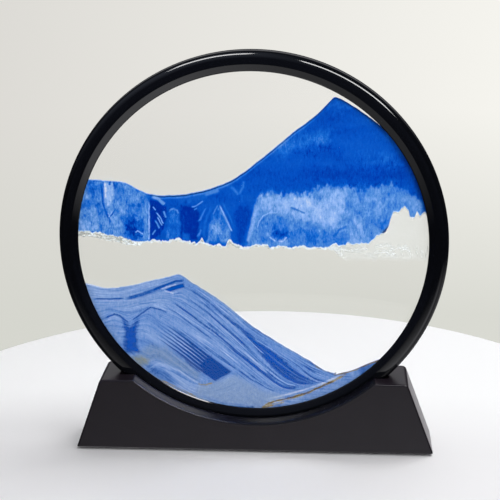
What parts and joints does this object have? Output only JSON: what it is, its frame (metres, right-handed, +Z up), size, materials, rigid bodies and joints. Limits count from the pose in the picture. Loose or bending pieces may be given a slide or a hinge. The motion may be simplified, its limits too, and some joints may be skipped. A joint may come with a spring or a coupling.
{
  "type": "moving sand picture",
  "caption": "Round liquid-filled glass wheel with blue sand landscapes in a black rim, turning in the slot of a low trapezoid stand to start a new picture.",
  "frame": {"origin": "on the table, under the middle of the stand", "axes": "+Z up; the wheel's axis lies along Y and its front faces -Y; +X to the right seen from the front"},
  "size_m": [0.18, 0.0244, 0.19],
  "materials": {
    "gloss_black": "gloss",
    "satin_black": "satin",
    "black_rubber": "matte",
    "silicone": "satin",
    "spacer_plastic": "satin",
    "clear_glass": "polished",
    "clear_liquid": "clear",
    "air_bubbles": "clear",
    "blue_sand": "granular",
    "dune_sand": "granular",
    "pale_sand": "granular",
    "gold_sand": "granular"
  },
  "bodies": {
    "stand": {"stand_shell": "satin_black", "stand_base_plate": "satin_black", "front_left_foot": "black_rubber", "front_right_foot": "black_rubber", "rear_left_foot": "black_rubber", "rear_right_foot": "black_rubber"},
    "wheel": {"front_rim": "gloss_black", "rear_rim": "gloss_black", "front_glass": "clear_glass", "rear_glass": "clear_glass", "front_gasket": "silicone", "rear_gasket": "silicone", "spacer_ring": "spacer_plastic", "fill_plug": "black_rubber", "pale_sand_drift": "pale_sand", "gold_sand_seam": "gold_sand", "lower_sand_dune": "dune_sand", "pale_sand_cap": "pale_sand", "lower_liquid": "clear_liquid", "bubble_row": "air_bubbles", "upper_sand_bank": "blue_sand", "upper_liquid": "clear_liquid"}
  },
  "joints": [
    {"name": "wheel_spin", "type": "hinge", "parent": "stand", "child": "wheel", "pos_m": [0, 0, 0.1], "axis": [0, 1, 0], "continuous": true}
  ]
}
